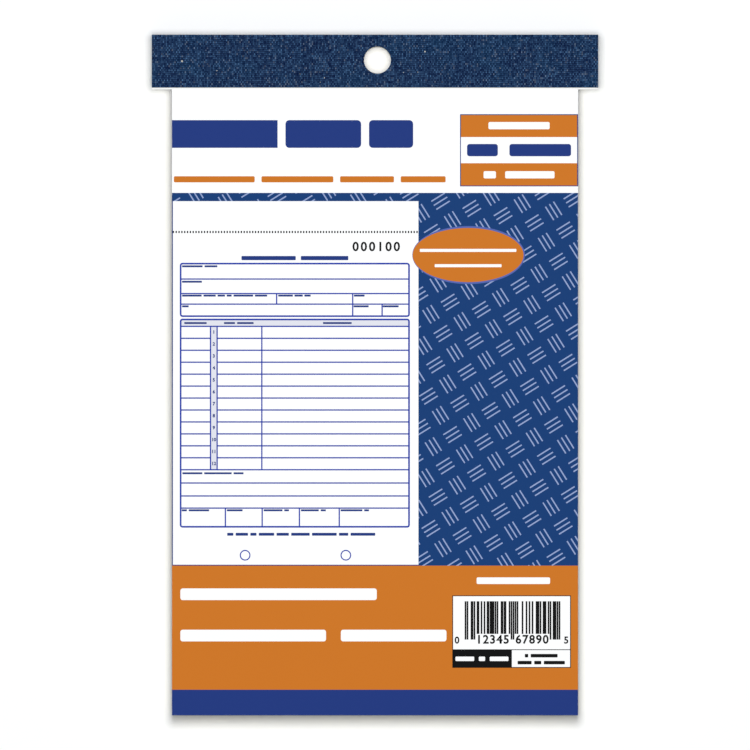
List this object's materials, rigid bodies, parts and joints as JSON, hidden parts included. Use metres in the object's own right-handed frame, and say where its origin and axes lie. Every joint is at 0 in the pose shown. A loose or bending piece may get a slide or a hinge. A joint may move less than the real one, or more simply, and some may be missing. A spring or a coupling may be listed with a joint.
{
  "type": "receiving record book",
  "caption": "Top-bound receiving record book of two-part carbonless sets, with a printed card cover, a cloth-covered header and a hang hole.",
  "frame": {"origin": "on the surface that the closed book lies on, under the middle of its bounding box", "axes": "+X to the reader's right, +Y along the length towards the header, +Z out of the front cover"},
  "size_m": [0.1416, 0.216, 0.0127],
  "materials": {
    "header_cloth": "matte",
    "header_board": "matte",
    "cover_card": "satin",
    "white_paper": "matte",
    "canary_paper": "matte",
    "shield_card": "matte",
    "back_board": "matte",
    "staple_wire": "satin"
  },
  "bodies": {
    "root": {"header_cloth": "header_cloth", "header_board_front": "header_board", "header_board_back": "header_board", "front_cover_stub": "cover_card", "sheet_stubs": "white_paper", "back_board": "back_board", "staple_left": "staple_wire", "staple_right": "staple_wire", "original_02": "white_paper", "duplicate_02": "canary_paper", "original_03": "white_paper", "duplicate_03": "canary_paper", "original_04": "white_paper", "duplicate_04": "canary_paper", "original_05": "white_paper", "duplicate_05": "canary_paper", "original_06": "white_paper", "duplicate_06": "canary_paper", "original_07": "white_paper", "duplicate_07": "canary_paper", "original_08": "white_paper", "duplicate_08": "canary_paper", "original_09": "white_paper", "duplicate_09": "canary_paper", "original_10": "white_paper", "duplicate_10": "canary_paper", "original_11": "white_paper", "duplicate_11": "canary_paper", "original_12": "white_paper", "duplicate_12": "canary_paper", "original_13": "white_paper", "duplicate_13": "canary_paper", "original_14": "white_paper", "duplicate_14": "canary_paper", "original_15": "white_paper", "duplicate_15": "canary_paper", "original_16": "white_paper", "duplicate_16": "canary_paper", "original_17": "white_paper", "duplicate_17": "canary_paper", "original_18": "white_paper", "duplicate_18": "canary_paper", "sets_19_to_22": "white_paper", "sets_23_to_26": "white_paper", "sets_27_to_30": "white_paper", "sets_31_to_34": "white_paper", "sets_35_to_38": "white_paper", "sets_39_to_42": "white_paper", "sets_43_to_46": "white_paper", "sets_47_to_50": "white_paper"},
    "first_set": {"duplicate_01": "canary_paper"},
    "first_original": {"original_01": "white_paper"},
    "front_cover": {"front_cover": "cover_card"},
    "writing_shield": {"writing_shield": "shield_card"}
  },
  "joints": [
    {"name": "first_set_turn", "type": "hinge", "parent": "root", "child": "first_set", "pos_m": [0, 0.0906, 0.0124], "axis": [-1, 0, 0], "range_deg": [0, 40]},
    {"name": "cover_turn", "type": "hinge", "parent": "first_set", "child": "front_cover", "pos_m": [0, 0.0906, 0.0124], "axis": [-1, 0, 0], "range_deg": [0, 138]},
    {"name": "original_tear_off", "type": "slide", "parent": "first_set", "child": "first_original", "axis": [0, -1, 0], "range_m": [0, 0.2]},
    {"name": "shield_slide", "type": "slide", "parent": "root", "child": "writing_shield", "axis": [0, -1, 0], "range_m": [0, 0.2]}
  ]
}
